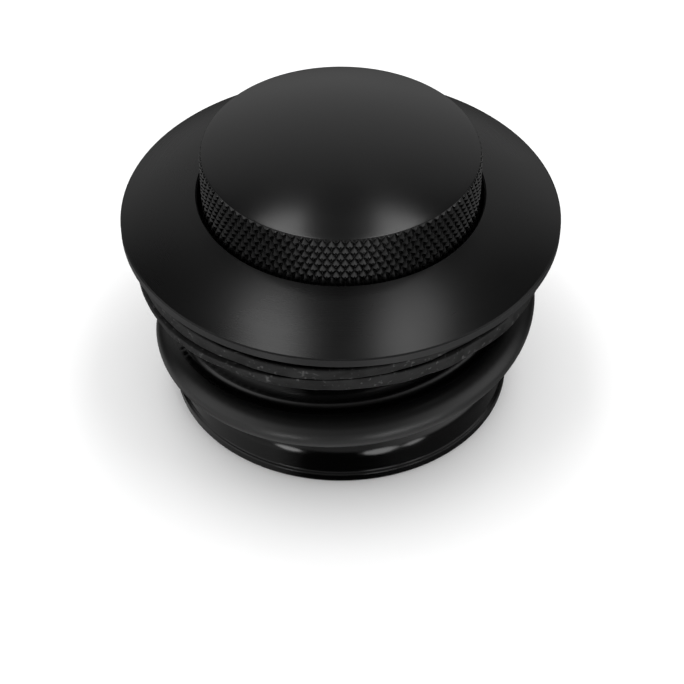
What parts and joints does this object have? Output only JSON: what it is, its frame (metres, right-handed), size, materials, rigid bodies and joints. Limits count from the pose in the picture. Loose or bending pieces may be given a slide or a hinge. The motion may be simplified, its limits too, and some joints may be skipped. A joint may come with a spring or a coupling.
{
  "type": "motorcycle fuel tank filler cap",
  "caption": "Round screw-in fuel tank cap with a domed bezel, neck gasket, coarse thread and a knurled knob that pops up and latches flush.",
  "frame": {"origin": "on the cap's axis, in the plane where the neck gasket seats on the filler neck", "axes": "+Z along the axis, up and out of the tank; -Y is the cap's front, +X its right"},
  "size_m": [0.08, 0.08, 0.0558],
  "materials": {
    "black_anodised": "satin black anodised",
    "black_knob": "satin black anodised, knurled side",
    "black_plug": "glossy black anodised",
    "gasket_rubber": "moulded matt",
    "seal_rubber": "smooth",
    "steel": "turned",
    "black_screws": "black oxide",
    "spring_steel": "drawn wire",
    "bronze": "sintered",
    "brass": "turned",
    "guide_plastic": "machined acetal"
  },
  "bodies": {
    "cap_body": {"bezel": "black_anodised", "bezel_screws": "black_screws", "bezel_o_ring": "seal_rubber", "plug": "black_plug", "neck_gasket": "gasket_rubber", "latch_turret": "guide_plastic", "turret_o_ring": "seal_rubber", "stem_o_ring": "seal_rubber", "guide_bushes": "bronze", "follower_pivot": "steel", "pop_spring": "spring_steel", "vent_body": "brass", "vent_spring": "spring_steel", "vent_cap": "brass", "vent_filter": "bronze", "bottom_cover": "black_plug", "cover_screws": "black_screws", "cover_o_ring": "seal_rubber"},
    "knob_body": {"knob": "black_knob", "drive_pins": "steel", "stem": "steel", "stem_screw": "black_screws", "stop_washer": "seal_rubber", "retaining_ring": "spring_steel"},
    "follower_body": {"latch_follower": "steel"},
    "poppet_body": {"vent_poppet": "brass"}
  },
  "joints": [
    {"name": "knob_slide", "type": "slide", "parent": "cap_body", "child": "knob_body", "axis": [0, 0, 1], "range_m": [-0.0105, 0], "stiffness_N_per_m": 700, "springref_m": 0.006, "deforming": ["pop_spring"]},
    {"name": "latch_swing", "type": "hinge", "parent": "cap_body", "child": "follower_body", "pos_m": [0.01, 0.0022, -0.005], "axis": [1, 0, 0], "range_deg": [0, 26]},
    {"name": "vent_lift", "type": "slide", "parent": "cap_body", "child": "poppet_body", "axis": [0, 0, -1], "range_m": [0, 0.0012], "stiffness_N_per_m": 60, "springref_m": -0.001, "deforming": ["vent_spring"]}
  ]
}
